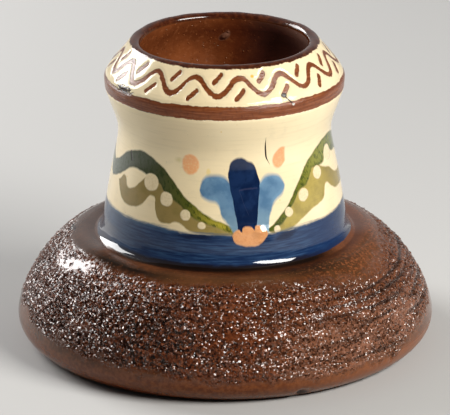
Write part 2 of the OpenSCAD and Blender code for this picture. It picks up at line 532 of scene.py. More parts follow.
    def blendramp(self, x, stops):
        nd = self.node("ShaderNodeValToRGB")
        self.put(nd.inputs[0], x)
        el = nd.color_ramp.elements
        while len(el) > 1:
            el.remove(el[-1])
        el[0].position = stops[0][0]
        el[0].color = tuple(stops[0][1]) + (1,)
        for p, c in stops[1:]:
            e = el.new(p)
            e.color = tuple(c) + (1,)
        return nd.outputs[0]

    def attr(self, name):
        nd = self.node("ShaderNodeAttribute")
        nd.attribute_type = "GEOMETRY"
        nd.attribute_name = name
        return Num(self, nd.outputs["Fac"])


# ---------------------------------------------------------------- the painted and glazed clay
mat = bpy.data.materials.new("glazed_red_earthenware")
mat.use_nodes = True
nt = mat.node_tree
for nd in list(nt.nodes):
    nt.nodes.remove(nd)
g = Graph(nt)
out = g.node("ShaderNodeOutputMaterial")
bsdf = g.node("ShaderNodeBsdfPrincipled")
nt.links.new(bsdf.outputs[0], out.inputs[0])

co = g.node("ShaderNodeTexCoord").outputs["Object"]
sc = g.node("ShaderNodeVectorMath")
sc.operation = "SCALE"
nt.links.new(co, sc.inputs[0])
sc.inputs["Scale"].default_value = 1000.0
P = sc.outputs[0]
sep = g.node("ShaderNodeSeparateXYZ")
nt.links.new(P, sep.inputs[0])
X, Y, Z = (Num(g, sep.outputs[k]) for k in range(3))
theta = g.math("ARCTAN2", X, -Y) * 57.29578
R = g.math("SQRT", X * X + Y * Y)
cav, rgh, outer, pool = g.attr("a_cav"), g.attr("a_rough"), g.attr("a_out"), g.attr("a_pool")
right_ = g.ramp(g.math("COSINE", (theta - 62.0) * 0.0174533), 0.35, 0.95)
calm_ = g.attr("a_calm")
left_ = g.ramp(g.math("COSINE", (theta + 72.0) * 0.0174533), 0.55, 0.9)
f_high, f_chance = g.facets(P, 2.6)
# bands along the turning where the comb slid and left it smoother
band_n = g.noise(g.vec(theta * 0.05, Z * 0.50, R * 0.50), 1.0, 2.0, 0.55)
slid = g.ramp(band_n, 0.50, 0.62) * (1.0 - left_ * 0.5)
low_l = g.ramp(g.ab(theta + 31.0), 19.0, 9.0) * g.ramp(g.ab(Z - 13.5), 6.5, 3.0)
blot = g.ramp(g.noise(P, 0.95, 1.0, 0.5), 0.53, 0.61) * g.mx(g.ramp(g.noise(P, 0.13, 1.0, 0.5), 0.46, 0.60) * 0.7, low_l) * rgh
thin = g.ramp(R, 40.3, 43.0) * g.ramp(g.ab(theta + 50.0), 30.0, 16.0)
dull = g.ramp(f_chance + thin * 0.26, 0.70, 0.75, soft=False) * rgh * (1.0 - calm_ * 0.9) * (1.0 - slid * 0.55)

n_lo = g.noise(P, 0.055, 2.0, 0.5)
n_mid = g.noise(P, 0.32, 3.0, 0.55)
n_fine = g.noise(P, 1.9, 2.0, 0.6)
# drawn by hand: every outline wanders a little
wz = Z + (n_mid - 0.5) * 0.75 + (n_fine - 0.5) * 0.16
wt = theta + (g.noise(P, 0.28, 2.0, 0.5) - 0.5) * 1.6
t2 = g.math("WRAP", wt, 90.0, -90.0)
# long streaks along the turning, for slip, brush and comb marks
turn = g.vec(theta * 0.035, Z * 1.7, R * 0.8)
streak = g.noise(turn, 1.0, 3.0, 0.6)
brush = g.noise(g.vec(theta * 0.085, Z * 2.3, 0.0), 1.0, 3.0, 0.65)
front = g.ramp(Y, 1.0, -1.0)

# cream slip
col = g.mix(g.ramp(n_lo, 0.35, 0.7), (0.82, 0.675, 0.425), (0.87, 0.735, 0.48))
col = g.mix(g.ramp(streak, 0.50, 0.78) * 0.35, col, (0.66, 0.54, 0.33))
col = g.mix(g.ramp(n_mid, 0.56, 0.80) * 0.28, col, (0.63, 0.54, 0.36))
specks, _ = g.cells(P, 0.55, 1.0)
col = g.mix(g.ramp(specks, 0.085, 0.03) * g.ramp(n_mid, 0.45, 0.6) * 0.5, col, (0.33, 0.29, 0.20))
specks2, _ = g.cells(P, 0.21, 1.0)
col = g.mix(g.ramp(specks2, 0.055, 0.025) * 0.55, col, (0.70, 0.45, 0.08))


def oval(t, z, ct, cz, rt_, rz):
    """distance inside an ellipse, in mm"""
    a = (t - ct) / rt_
    b = (z - cz) / rz
    return (1.0 - g.math("SQRT", a * a + b * b)) * rz


def union(*d):
    o = d[0]
    for e in d[1:]:
        o = g.mx(o, e)
    return o


col = g.mix(g.edge(oval(t2, wz, -37.0, 51.7, 1.8, 0.5), 0.6) * 0.4, col, (0.48, 0.40, 0.12))
col = g.mix(g.edge(oval(t2, wz, -20.5, 49.5, 1.1, 0.75), 0.6) * 0.5, col, (0.78, 0.58, 0.15))
# orange spots
dots = union(oval(t2, wz, -30.2, 51.1, 4.5, 2.35), g.mn(oval(t2 - (wz - 52.0) * 0.55, wz, 17.9, 52.1, 4.2, 2.35), (21.0 - t2) * 0.47))
m_or = g.edge(dots, 0.5)
o_col = g.mix(g.ramp(n_fine, 0.46, 0.66), (0.80, 0.37, 0.160), (0.80, 0.47, 0.23))
o_col = g.mix(g.ramp(t2, 0.0, 10.0) * 0.5, o_col, (0.74, 0.30, 0.135))
col = g.mix(m_or * 0.95, col, o_col)

# leaves, then stems, as bands between two drawn lines
leaf_top = g.curve(t2, [(-82, 41.0), (-80, 42.6), (-78, 43.2), (-76.5, 43.9), (-75, 44.4), (-73, 44.2), (-71.3, 43.2), (-70, 42.5), (-68, 42.2), (-65, 42.5), (-63, 43.0), (-61, 44.2), (-59, 45.0), (-57, 45.8), (-54, 46.8), (-50, 47), (-45, 46.3), (-40, 44.5), (-30, 41), (-20, 38.4), (-10, 36.5), (-6, 35.2), (-4, 33.5), (7, 33.5), (9, 35.8), (12, 36.8), (16, 38.2), (20, 39.8), (25, 42.5), (30, 45), (35, 47.3), (40, 48.8), (44, 48.3), (46.5, 47.2), (50, 46.5), (55, 45.8), (58, 45.0), (61, 43.9), (65, 43.3), (70, 43.0), (75, 42.8), (78.5, 42.0), (80, 41.2), (82, 39.8)])
leaf_bot = g.curve(t2, [(-82, 44.4), (-80, 43), (-78.6, 42.0), (-77.6, 41.2), (-76, 40.1), (-74, 39.2), (-70, 38.4), (-66, 38.2), (-62, 38.5), (-58, 39.3), (-55, 40.6), (-53, 41.7), (-51, 42.3), (-49.3, 42.2), (-48.6, 41.2), (-48.2, 39.6), (-47.5, 38.2), (-46, 37.2), (-43, 36.5), (-40, 36.5), (-36, 37.2), (-34, 36.9), (-31, 36.0), (-28, 35.4), (-24, 35.1), (-20, 35.0), (-15, 34.8), (-8, 34.9), (-6, 35.4), (-4, 36.5), (7, 36.5), (9, 35.2), (12, 34.5), (16, 34.4), (20, 34.9), (24, 35.7), (28, 36.7), (32, 37.7), (36, 38.3), (40, 38.7), (44, 39.3), (46, 40.2), (47.5, 41.6), (49.5, 42.5), (52, 42.0), (55, 41.0), (60, 40.0), (65, 39.7), (75, 39.5), (78.5, 40.2), (80, 41.4), (82, 42.8)])
d_leaf = g.mn(leaf_top - wz, wz - leaf_bot) * 0.8
m_leaf = g.edge(d_leaf, 0.36)
l_col = g.mix(g.ramp(t2, -40.0, 20.0), (0.290, 0.212, 0.078), (0.400, 0.310, 0.085))
l_col = g.mix(g.ramp(t2, 40.0, 54.0) * 0.75, l_col, (0.260, 0.195, 0.048))
l_col = g.mix(g.ramp(n_mid, 0.40, 0.68) * 0.5, l_col, (0.21, 0.165, 0.055))
l_col = g.mix(g.ramp(brush, 0.55, 0.75) * 0.3, l_col, (0.15, 0.13, 0.05))
col = g.mix(m_leaf, col, l_col)

stem_top = g.curve(t2, [(-90, 46.2), (-85, 47.2), (-80, 48.6), (-75, 50.1), (-70, 51.0), (-65, 51.5), (-60, 51.7), (-55, 51.3), (-50, 50.2), (-45, 49.0), (-40, 46.9), (-35, 44.5), (-30, 42.5), (-25, 40.9), (-20, 39.3), (-15, 38.2), (-10, 37.2), (-6, 36.2), (-3, 34), (6, 34), (8.5, 35.9), (10, 36.2), (13, 37.3), (16, 38.6), (20, 40.5), (22.5, 42), (25, 43.8), (28, 45.3), (32, 47.5), (36, 49.2), (40, 50.3), (45, 51.6), (50, 52.7), (55, 53.1), (60, 53.3), (65, 53.2), (70, 52.5), (75, 51.3), (80, 49.3), (85, 47.3), (90, 46.2)])
stem_bot = g.curve(t2, [(-90, 42.2), (-85, 42.9), (-80, 43.9), (-75, 45.3), (-70, 46.7), (-65, 47.2), (-60, 47.0), (-56, 46.5), (-51, 46.0), (-47, 45.5), (-44, 44.0), (-39, 42.5), (-35, 41.4), (-30, 39.5), (-25, 38.2), (-20, 37.3), (-15, 36.5), (-10, 35.5), (-6, 35.2), (-3, 36), (6, 36.4), (8.5, 35.2), (10, 35.0), (15, 36.2), (18, 37.2), (22, 40.0), (25, 41.5), (28, 43.4), (32, 44.0), (35, 45.0), (38, 46.7), (40, 47.5), (45, 47.3), (50, 47.5), (52, 48), (54, 50.2), (57, 50.8), (60, 50.3), (62, 49), (65, 48.2), (70, 47.9), (75, 47.4), (80, 45.6), (85, 43.3), (90, 42.2)])
d_stem = g.mn(stem_top - wz, wz - stem_bot) * 0.8
m_stem = g.edge(d_stem, 0.4)
# the stems' colour round the pot; towards both ends, at the sides of the pot, it turns grey: painted reflection
s_col = g.blendramp(g.ramp(t2, -90.0, 90.0, soft=False), [(0.0, (0.105, 0.125, 0.095)), (0.10, (0.066, 0.077, 0.050)), (0.22, (0.066, 0.074, 0.038)), (0.33, (0.105, 0.112, 0.024)), (0.42, (0.440, 0.370, 0.050)), (0.48, (0.200, 0.180, 0.018)), (0.55, (0.080, 0.100, 0.016)), (0.62, (0.135, 0.140, 0.024)), (0.74, (0.225, 0.225, 0.042)), (0.86, (0.160, 0.175, 0.045)), (1.0, (0.105, 0.125, 0.095))])
hatch = g.noise(g.vec(t2 * 0.55 + wz * 0.5, wz * 0.5 - t2 * 0.12, 3.0), 1.0, 3.0, 0.7)
s_col = g.mix(g.ramp(hatch, 0.48, 0.62) * 0.7, s_col, (0.030, 0.050, 0.014))
s_col = g.mix(g.ramp(d_stem, 0.9, 0.0) * 0.35, s_col, (0.030, 0.045, 0.016))
col = g.mix(m_stem, col, s_col)

# cream drops along the leaves
d_drop = union(oval(t2, wz, -52.3, 45.3, 4.6, 2.05), oval(t2, wz, -42.2, 42.2, 3.4, 1.7), oval(t2, wz, -31.7, 39.1, 2.7, 1.3), oval(t2, wz, -23.4, 37.0, 1.85, 0.88), oval(t2, wz, 13.5, 35.5, 1.75, 0.9), oval(t2, wz, 20.3, 38.9, 2.2, 1.15), oval(t2, wz, 30.2, 42.0, 3.2, 1.55), oval(t2, wz, 43.0, 45.9, 3.7, 1.6), oval(t2, wz, 57.0, 48.7, 4.6, 1.5))
m_drop = g.edge(d_drop, 0.3)
col = g.mix(m_drop, col, g.mix(g.ramp(n_fine, 0.4, 0.7), (0.78, 0.65, 0.42), (0.70, 0.57, 0.34)))

# side petals, then the dark one in front
pet_top = g.curve(t2, [(-26.2, 43.0), (-25, 45.1), (-24.6, 46.0), (-24, 46.8), (-22.5, 48.0), (-20, 48.7), (-16.5, 48.9), (-13, 48.6), (-10, 47.5), (-5, 46.5), (0, 46.5), (5, 46.9), (6, 47.0), (7.3, 47.6), (9.5, 48.2), (12, 48.4), (15, 48.1), (17.5, 47.2), (19, 46.0), (19.6, 45.0), (20.8, 43.0)])
pet_bot = g.curve(t2, [(-26.2, 47.8), (-25, 45.6), (-24.4, 44.4), (-22, 43.2), (-19.5, 42.7), (-17, 42.5), (-15.6, 42), (-14.5, 41), (-13.5, 39.2), (-11.3, 38), (-9.2, 36.6), (-7.5, 35), (-6, 34.2), (6, 34.2), (8.6, 35.0), (9.2, 36.4), (9.8, 38.3), (11, 40), (12, 41.2), (14, 42.3), (17, 43.2), (19, 44.4), (19.6, 45.6), (20.8, 47.8)])
d_pet = g.mn(pet_top - wz, wz - pet_bot) * 0.75
m_pet = g.edge(d_pet, 0.85)
p_col = g.mix(g.ramp(n_mid, 0.38, 0.66), (0.140, 0.265, 0.395), (0.068, 0.165, 0.290))
p_col = g.mix(g.ramp(d_pet, 0.5, 1.4) * 0.35, p_col, (0.055, 0.140, 0.260))
p_col = g.mix(g.ramp(wz, 42.0, 37.5) * 0.5, p_col, (0.22, 0.34, 0.40))
col = g.mix(m_pet * 0.97, col, p_col)

nav_top = g.curve(t2, [(-11.4, 46.4), (-10.6, 48.0), (-10.2, 49.6), (-8.7, 51.7), (-6.5, 52.7), (-4, 53.0), (-2, 52.7), (0, 52.0), (2.5, 51.4), (4, 50), (5, 48.4), (5.6, 46.4), (6.4, 44.6)])
nav_bot = g.curve(t2, [(-11.4, 50.4), (-10.6, 48.6), (-10.0, 47), (-8.7, 44), (-7.8, 42), (-6.8, 39.3), (-6.0, 37.2), (-5.3, 34.5), (3.0, 34.5), (3.6, 37.2), (4.1, 39.3), (4.5, 41), (5, 44), (5.6, 47.0), (6.4, 49.0)])
d_nav = g.mn(nav_top - wz, wz - nav_bot) * 0.8
m_nav = g.edge(d_nav, 0.55)
v_col = g.mix(g.ramp(n_mid, 0.40, 0.66), (0.007, 0.018, 0.053), (0.013, 0.030, 0.082))
v_col = g.mix(g.ramp(wz, 49.5, 52.0) * 0.4, v_col, (0.022, 0.035, 0.080))
# a pale streak and a short diagonal on the dark petal: painted reflection
navy_painted_sheen = union(g.mn(0.14 - g.ab(wz - 45.5 - (t2 + 1) * 0.03), 4.6 - g.ab(t2 + 0.5)), g.mn(0.13 - g.ab(wz - 45.1 + (t2 + 5) * 1.35), 2.2 - g.ab(t2 + 3)))
v_col = g.mix(g.edge(navy_painted_sheen, 0.3) * 0.28, v_col, (0.10, 0.09, 0.15))
col = g.mix(m_nav, col, v_col)

# blue band round the foot of the neck, brushed on
band_top = g.curve(t2, [(-90, 35.8), (-70, 35.6), (-50, 35.7), (-40, 35.4), (-28, 35.2), (-10, 35.1), (0, 34.6), (10, 34.8), (18, 35.0), (25, 35.2), (40, 35.2), (55, 35.5), (70, 35.7), (90, 35.8)])
m_band = g.edge(band_top - wz + (brush - 0.5) * 1.3, 0.85)
b_col = g.mix(g.ramp(brush, 0.38, 0.66), (0.015, 0.032, 0.084), (0.037, 0.076, 0.155))
b_col = g.mix(g.ramp(streak, 0.52, 0.72) * 0.55, b_col, (0.010, 0.022, 0.065))
b_col = g.mix(g.ramp(wz, 34.3, 35.8) * 0.5, b_col, (0.11, 0.20, 0.27))
dark_t = union(oval(t2, wz - (t2 - 18) * 0.09, 18.0, 33.8, 5.6, 0.85), oval(t2, wz, -25.0, 34.3, 10.5, 0.6))
b_col = g.mix(g.ramp(dark_t + (brush - 0.5) * 2.6, -0.15, 0.35) * 0.85, b_col, (0.006, 0.012, 0.036))
# near black along the foot of the blue, where it meets the shelf: painted shade in the crease
b_col = g.mix(g.ramp(wz, 28.5, 27.7) * 0.93, b_col, (0.017, 0.012, 0.012))
# darker blue towards the right: painted shade
b_col = g.mix(g.ramp(t2, 18.0, 46.0) * 0.8, b_col, (0.009, 0.026, 0.083))
# paler and greyer towards the left flank: painted reflection in the glaze
b_col = g.mix(g.ramp(t2, -52.0, -78.0) * 0.45, b_col, (0.085, 0.115, 0.160))
b_col = g.mix(g.ramp(t2, 44.0, 62.0) * g.ramp(wz, 31.5, 33.5) * 0.6, b_col, (0.010, 0.030, 0.080))
# pale grey low down on both flanks: painted reflection of the pale room in the glaze
b_col = g.mix(g.ramp(g.ab(t2 + 6.0), 62.0, 80.0) * g.ramp(wz, 32.5, 30.5) * 0.75, b_col, (0.150, 0.150, 0.165))
col = g.mix(m_band, col, b_col)

# the half-round base of the flower
cup_top = g.curve(t2, [(-9.7, 33.4), (-8.9, 34.6), (-8.2, 35.3), (-6.8, 35.9), (-5.6, 36.1), (-4.9, 35.7), (-4.4, 35.5), (-3.8, 36.3), (-2.5, 36.75), (-1, 36.85), (0.6, 36.75), (1.6, 36.3), (2.2, 36.0), (2.8, 36.7), (3.7, 36.95), (4.8, 36.9), (6, 36.5), (7.5, 35.7), (8.5, 34.5), (9.3, 33.4)])
cup_bot = g.curve(t2, [(-9.7, 36.0), (-8.9, 34.9), (-7.7, 33.5), (-5.2, 32.6), (-1.5, 32.1), (2, 32.1), (5, 32.7), (7.3, 33.7), (8.5, 34.8), (9.3, 36.0)])
d_cup = g.mn(cup_top - wz, wz - cup_bot) * 0.8
m_cup = g.edge(d_cup, 0.34)
c_col = g.mix(g.ramp(n_fine, 0.42, 0.68), (0.70, 0.335, 0.145), (0.65, 0.29, 0.125))
c_col = g.mix(g.ramp(d_cup, 0.35, 0.0) * 0.4, c_col, (0.60, 0.36, 0.20))
col = g.mix(m_cup, col, c_col)

# hairline cracks in the front
crack_t = g.curve(Z, [(50.7, 11.8), (51.6, 10.9), (52.5, 10.0), (54, 9.5), (56, 9.0), (57.8, 8.8)])
d_crack = g.mn(0.02 + g.ramp(Z, 57.9, 54.5, 0.0, 0.16) * g.ramp(Z, 50.6, 53.0) - g.ab(theta - crack_t) * 0.45, g.mn(Z - 50.7, 57.8 - Z))
crack2 = g.mn(0.20 - g.ab(theta + 70.3 + (Z - 49.6) * 0.9) * 0.45, 1.15 - g.ab(Z - 49.6))
m_crack = g.edge(union(d_crack, crack2), 0.09) * front
col = g.mix(m_crack, col, (0.020, 0.011, 0.009))

# scratched through the slip to the clay: a plain running border on the bevel, and the band under it
t24 = g.math("WRAP", wt + 4.0, 12.0, -12.0)
wave_z = 70.15 + g.math("COSINE", t24 * (math.pi / 12)) * 1.75
bz = wz + (n_fine - 0.5) * 0.25
slope = g.math("SINE", t24 * (math.pi / 12)) * 1.0
hill_w = (0.53 + (n_mid - 0.5) * 0.5) - g.ab(bz - wave_z) / g.math("SQRT", slope * slope + 1.0)


def stroke(t, z, t0, z0, t1, z1, w, k=0.45):
    """a scratched stroke from one point to another, w mm wide"""
    ax, az = (t - t0) * k, z - z0
    bx, bz_ = (t1 - t0) * k, z1 - z0
    L = bx * bx + bz_ * bz_
    h = g.ramp(ax * (bx / L) + az * (bz_ / L), 0.0, 1.0, soft=False)
    ex, ez = ax - h * bx, az - h * bz_
    return w / 2 - g.math("SQRT", ex * ex + ez * ez)


t24b = g.math("WRAP", t24 + 12.0, 12.0, -12.0)
leafs = union(stroke(t24, bz, -2.0, 67.75, 1.6, 69.3, 1.05), stroke(t24b, bz, -1.6, 71.0, 2.0, 72.45, 1.05))
d_scr = union(hill_w, leafs)
m_scr = g.edge(d_scr, 0.16) * g.ramp(Z, 66.4, 66.8) * outer
ragged_w = (g.noise(g.vec(theta * 0.9, Z * 0.6, R * 0.3), 1.0, 3.0, 0.7) - 0.5) * 0.9
d_bnd = g.mn(wz - 63.05 + ragged_w * 0.45, 66.25 - wz + ragged_w * 0.5)
m_bnd = g.edge(d_bnd, 0.16) * outer
rub = g.noise(g.vec(theta * 0.06, Z * 3.2, R), 1.0, 3.0, 0.7)
clay = g.mix(g.ramp(rub, 0.38, 0.68), (0.155, 0.042, 0.014), (0.275, 0.090, 0.034))
clay = g.mix(g.ramp(g.noise(g.vec(theta * 0.8, Z * 0.9, 1.0), 1.0, 2.0, 0.6), 0.52, 0.7) * 0.4, clay, (0.075, 0.026, 0.014))
col = g.mix(g.mx(m_scr, m_bnd), col, clay)
flick = g.ramp(g.noise(g.vec(theta * 0.7, Z * 2.2, 5.0), 1.0, 2.0, 0.5), 0.72, 0.78) * m_bnd * g.ramp(Z, 64.5, 63.0)
col = g.mix(flick * 0.8, col, (0.62, 0.50, 0.34))

# small knocks in the glaze at the lower edge of the bevel, and a speck of ochre
nick = union(oval(theta, Z, 17.9, 67.7, 1.5, 0.42), stroke(theta, Z, 18.2, 67.5, 22.0, 65.4, 0.26))
m_nick = g.edge(nick, 0.12) * outer
col = g.mix(m_nick, col, (0.040, 0.036, 0.034))
col = g.mix(g.edge(oval(theta, Z, 21.9, 65.5, 0.7, 0.28), 0.1) * outer, col, (0.75, 0.72, 0.66))
chips = oval(theta, Z, -69.0, 66.55, 8.0, 0.8) + (g.noise(P, 2.0, 2.0, 0.6) - 0.53) * 3.4
m_chip = g.edge(chips, 0.25) * g.ramp(oval(theta, Z, -69.0, 66.55, 8.5, 1.0), 0.0, 0.2) * outer
col = g.mix(m_chip, col, (0.035, 0.017, 0.012))
col = g.mix(g.edge(oval(theta, Z, 3.3, 72.1, 0.9, 0.3), 0.2) * outer, col, (0.72, 0.46, 0.09))

# the red clay under clear glaze: lip, inside, shelf, skirt and foot
b_lo = g.noise(P, 0.11, 3.0, 0.6)
b_mid = g.noise(P, 0.9, 3.0, 0.65)
body = g.mix(g.ramp(b_lo, 0.36, 0.66), (0.062, 0.025, 0.012), (0.125, 0.047, 0.021))
body = g.mix(g.ramp(b_mid, 0.48, 0.72) * 0.5, body, (0.180, 0.064, 0.025))
body = g.mix(g.ramp(b_mid, 0.46, 0.28) * 0.5, body, (0.040, 0.022, 0.014))
body = g.mix(g.ramp(streak, 0.50, 0.72) * 0.35, body, (0.055, 0.028, 0.016))
body = g.mix(pool * g.ramp(b_mid, 0.80, 0.45, 0.65, 1.0), body, (0.015, 0.010, 0.007))
fine_sp, _ = g.cells(P, 1.1, 1.0)
body = g.mix(g.ramp(fine_sp, 0.20, 0.08) * 0.45, body, (0.30, 0.12, 0.05))
# the striking surface: dark in the hollows, where the glaze gathers and with painted shade; bare orange on the crests
rc = g.blendramp(cav * 0.5 + 0.5 + (n_fine - 0.5) * 0.5, [(0.0, (0.034, 0.013, 0.007)), (0.28, (0.078, 0.023, 0.009)), (0.50, (0.128, 0.035, 0.012)), (0.72, (0.168, 0.050, 0.019)), (0.97, (0.235, 0.082, 0.036))])
rc = g.mix(g.ramp(b_lo, 0.42, 0.62) * 0.2, rc, (0.062, 0.028, 0.017))
# dark specks for pits: painted shade
rc = g.mix(g.ramp(g.noise(P, 1.5, 1.0, 0.5), 0.56, 0.66) * 0.6, rc, (0.022, 0.011, 0.007))
rc = g.mix(blot * 0.85, rc, (0.014, 0.015, 0.013))
rc = g.mix(g.ramp(g.noise(P, 1.7, 1.0, 0.5), 0.42, 0.34) * 0.6, rc, (0.190, 0.058, 0.020))
drag = g.noise(g.vec(theta * 0.22, Z * 1.5, R * 1.5), 1.0, 3.0, 0.65)
# lighter and warmer towards the right, more so low down: painted light and sheen from the lamp on that side
rc = g.mix(right_ * 0.43, rc, (0.205, 0.078, 0.038))
rc = g.mix(right_ * g.ramp(R, 44.5, 47.5) * (0.50 + g.ramp(theta, 62.0, 46.0) * 0.25), rc, (0.310, 0.137, 0.082))
rc = g.mix(g.ramp(drag, 0.50, 0.66) * (0.28 + 0.36 * right_), rc, (0.042, 0.022, 0.015))
# dark along the comb grooves on the right: painted shade
rc = g.mix(g.attr("a_fur") * 0.72, rc, (0.026, 0.018, 0.014))
# facets picked as deep pits are painted dark: painted shade
rc = g.mix(dull * 0.8, rc, (0.022, 0.010, 0.006))
body = g.mix(rgh, body, rc)
# darker towards the crease at the foot of the neck: painted shade, where the glaze also gathers
near = g.ramp(R, 36.2, 34.6) * g.ramp(Z, 30.0, 27.5) * outer
ahead = g.ramp(theta, -74.0, -58.0) * g.ramp(theta, 52.0, 30.0)
body = g.mix(g.ramp(R, 35.5, 31.6) * g.ramp(Z, 29.0, 27.6) * outer * ahead * 0.4, body, (0.040, 0.018, 0.010))
body = g.mix(g.ramp(R, 32.1, 30.9) * g.ramp(Z, 29.0, 27.6) * outer * ahead * 0.92, body, (0.008, 0.006, 0.005))
body = g.mix(g.ramp(R, 35.2, 33.4) * g.ramp(Z, 29.0, 27.6) * outer * g.ramp(theta, 36.0, 64.0) * 0.5, body, (0.185, 0.074, 0.046))
body = g.mix(g.ramp(R, 33.0, 35.0) * g.ramp(Z, 20.0, 22.0) * outer * g.ramp(g.ab(theta + 12.0), 34.0, 16.0) * (1.0 - rgh) * g.ramp(R, 38.4, 37.0) * 0.30, body, (0.160, 0.074, 0.036))
# paler and greyer on the left of the shelf: painted reflection of the bright room
body = g.mix(g.ramp(theta, -66.0, -80.0) * g.ramp(theta, -145.0, -115.0) * (1.0 - rgh) * g.ramp(Z, 20.0, 22.0) * outer * 0.5, body, (0.130, 0.102, 0.092))
# a fine mottle over the shelf on the far right
scaly = g.noise(g.vec(theta * 0.9, Z * 1.6, R * 1.6), 1.0, 2.0, 0.6)
mott = right_ * (1.0 - rgh) * g.ramp(R, 32.0, 34.5) * outer * g.ramp(Z, 7.0, 9.0) * g.ramp(theta, 8.0, 38.0, 0.35, 1.0)
body = g.mix(mott * g.ramp(theta, 30.0, 55.0) * 0.35, body, (0.215, 0.080, 0.040))
body = g.mix(g.ramp(scaly, 0.50, 0.62) * mott * 0.6, body, (0.050, 0.036, 0.020))
body = g.mix(g.ramp(scaly, 0.46, 0.36) * mott * 0.6, body, (0.270, 0.098, 0.042))
scar = union(oval(theta, R, -107.5, 36.9, 3.4, 0.36), oval(theta, R, -103.5, 36.2, 2.4, 0.22))
body = g.mix(g.edge(scar, 0.2) * outer * g.ramp(Z, 20.0, 22.0), body, (0.014, 0.009, 0.007))
# foot
ft = g.ramp(Z, 8.0, 5.0) * g.ramp(R, 38.0, 42.0)
fcol = g.mix(g.ramp(b_mid, 0.36, 0.68), (0.108, 0.026, 0.004), (0.174, 0.050, 0.011))
# lighter towards the right: painted sheen
fcol = g.mix(right_ * 0.65, fcol, (0.270, 0.105, 0.050))
fcol = g.mix(g.ramp(Z, 1.6, 0.2) * 0.5, fcol, (0.055, 0.024, 0.015))
fcol = g.mix(g.ramp(oval(theta, Z, 10.4, 1.5, 1.9, 0.75), 0.0, 0.25) * 0.9, fcol, (0.020, 0.010, 0.007))
body = g.mix(ft * (1.0 - rgh), body, fcol)
# inside
inn = g.mix(g.ramp(b_lo, 0.35, 0.65), (0.128, 0.041, 0.017), (0.192, 0.061, 0.024))
inn = g.mix(g.ramp(b_mid, 0.52, 0.72) * 0.5, inn, (0.27, 0.10, 0.045))
inn = g.mix(g.ramp(fine_sp, 0.16, 0.06) * 0.6, inn, (0.035, 0.012, 0.006))
# paler and greyer on the right of the inside: painted light and reflection
inn = g.mix(g.ramp(g.math("COSINE", (theta - 78.0) * 0.0174533), 0.1, 0.8) * 0.85, inn, (0.215, 0.140, 0.118))
fleck, _ = g.cells(P, 0.62, 1.0)
inn = g.mix(g.ramp(fleck, 0.16, 0.10) * 0.55, inn, (0.34, 0.13, 0.055))
t_b = g.math("WRAP", theta, 348.0, -12.0)
run = g.mx(oval(t_b + (Z - 68.0) * 1.4, Z, 168.0, 68.0, 3.2, 1.25), oval(t_b, Z, 165.8, 69.1, 1.6, 0.6))
inn = g.mix(g.edge(run, 0.5) * 0.6, inn, (0.21, 0.115, 0.085))
m_in = g.ramp(outer, 0.6, 0.2) * g.ramp(Z, 24.0, 26.0)
body = g.mix(m_in, body, inn)
m_lip = g.ramp(Z, 72.9, 73.5)
lipc = g.mix(g.ramp(b_mid, 0.40, 0.66), (0.048, 0.014, 0.007), (0.096, 0.029, 0.012))
body = g.mix(m_lip, body, lipc)
# unglazed ring it stands on, and dull clay underneath
m_un = g.ramp(outer, 0.6, 0.2) * g.ramp(Z, 24.0, 22.0)
body = g.mix(m_un, body, g.mix(g.ramp(b_mid, 0.35, 0.7), (0.20, 0.085, 0.045), (0.30, 0.135, 0.075)))
m_low = g.ramp(Z + (n_mid - 0.5) * 0.3 - g.ramp(theta, -52.0, -34.0) * 0.42, 27.12, 26.93)
m_brown = g.mx(g.mx(m_low, g.edge(wz - 73.62 + (n_fine - 0.5) * 0.4, 0.15)), g.mx(g.ramp(outer, 0.9, 0.6), g.ramp(Z, 71.0, 71.4) * g.ramp(R, 22.3, 22.1)))
col = g.mix(m_brown, col, body)

# ---- gloss
gl = 0.055 + (n_lo - 0.4) * 0.05 + (n_fine - 0.5) * 0.02
gl = g.mixf(g.ramp(Z, 33.0, 31.0) * outer, gl, 0.022)
gl = g.mixf(m_brown, gl, 0.12 + (b_lo - 0.5) * 0.08)
crease_on = near * g.ramp(theta, -80.0, -71.0) * g.ramp(theta, 88.0, 66.0)
gl = g.mixf(m_brown * crease_on, gl, 0.40)
gl = g.mixf(m_brown * rgh, gl, 0.075 + (b_mid - 0.5) * 0.08)
gl = g.mixf(ft * m_brown * (1.0 - rgh) * right_ * 0.9, gl, 0.34)
gl = g.mixf(g.mx(m_scr, m_bnd), gl, 0.20)
gl = g.mixf(m_un, gl, 0.62)
gl = g.mixf(m_in, gl, 0.09)

# ---- relief that is finer than the mesh, in mm
hgt = (streak - 0.5) * 0.020 + (n_lo - 0.5) * 0.10 + (n_mid - 0.5) * 0.018
hgt = hgt * (1.0 - m_brown) + m_drop * 0.07 + g.edge(d_cup, 0.9) * 0.12 + m_nav * 0.02 + m_or * 0.03 + m_stem * 0.02 - m_crack * 0.15
hgt = hgt - (m_nick * 0.20 + m_chip * 0.14) * (1.0 - m_brown)
hgt = hgt - g.mx(m_scr, m_bnd) * (0.12 + (rub - 0.5) * 0.16) * (1.0 - m_brown)
ledge = g.curve(Z, [(32.6, 0.0), (35.15, 0.71), (35.3, 0.72), (37.0, 0.04), (37.25, 0.0)], linear=True)
lit = g.ramp(g.ab(theta - 6.4), 6.5, 1.3) * front
hgt = hgt * (1.0 - lit * g.ramp(g.ab(Z - 35.6), 2.6, 1.8) * 0.95) + ledge * lit
hgt = hgt - g.ramp(g.mx(d_scr, d_bnd), -0.75, 0.1) * 0.10 * outer * (1.0 - m_brown)
facet = f_high * g.ramp(g.noise(P, 0.22, 2.0, 0.5), 0.32, 0.62, 0.85, 1.35) * (1.0 - slid * 0.62) * (1.0 - blot * 0.5)
grit = (g.noise(P, 1.35, 1.5, 0.5) - 0.5) * 8.0
rough_on = m_brown * rgh * (1.0 - calm_) * (1.0 - right_ * g.ramp(R, 42.8, 39.6) * g.ramp(theta, 16.0, 34.0) * 0.75)
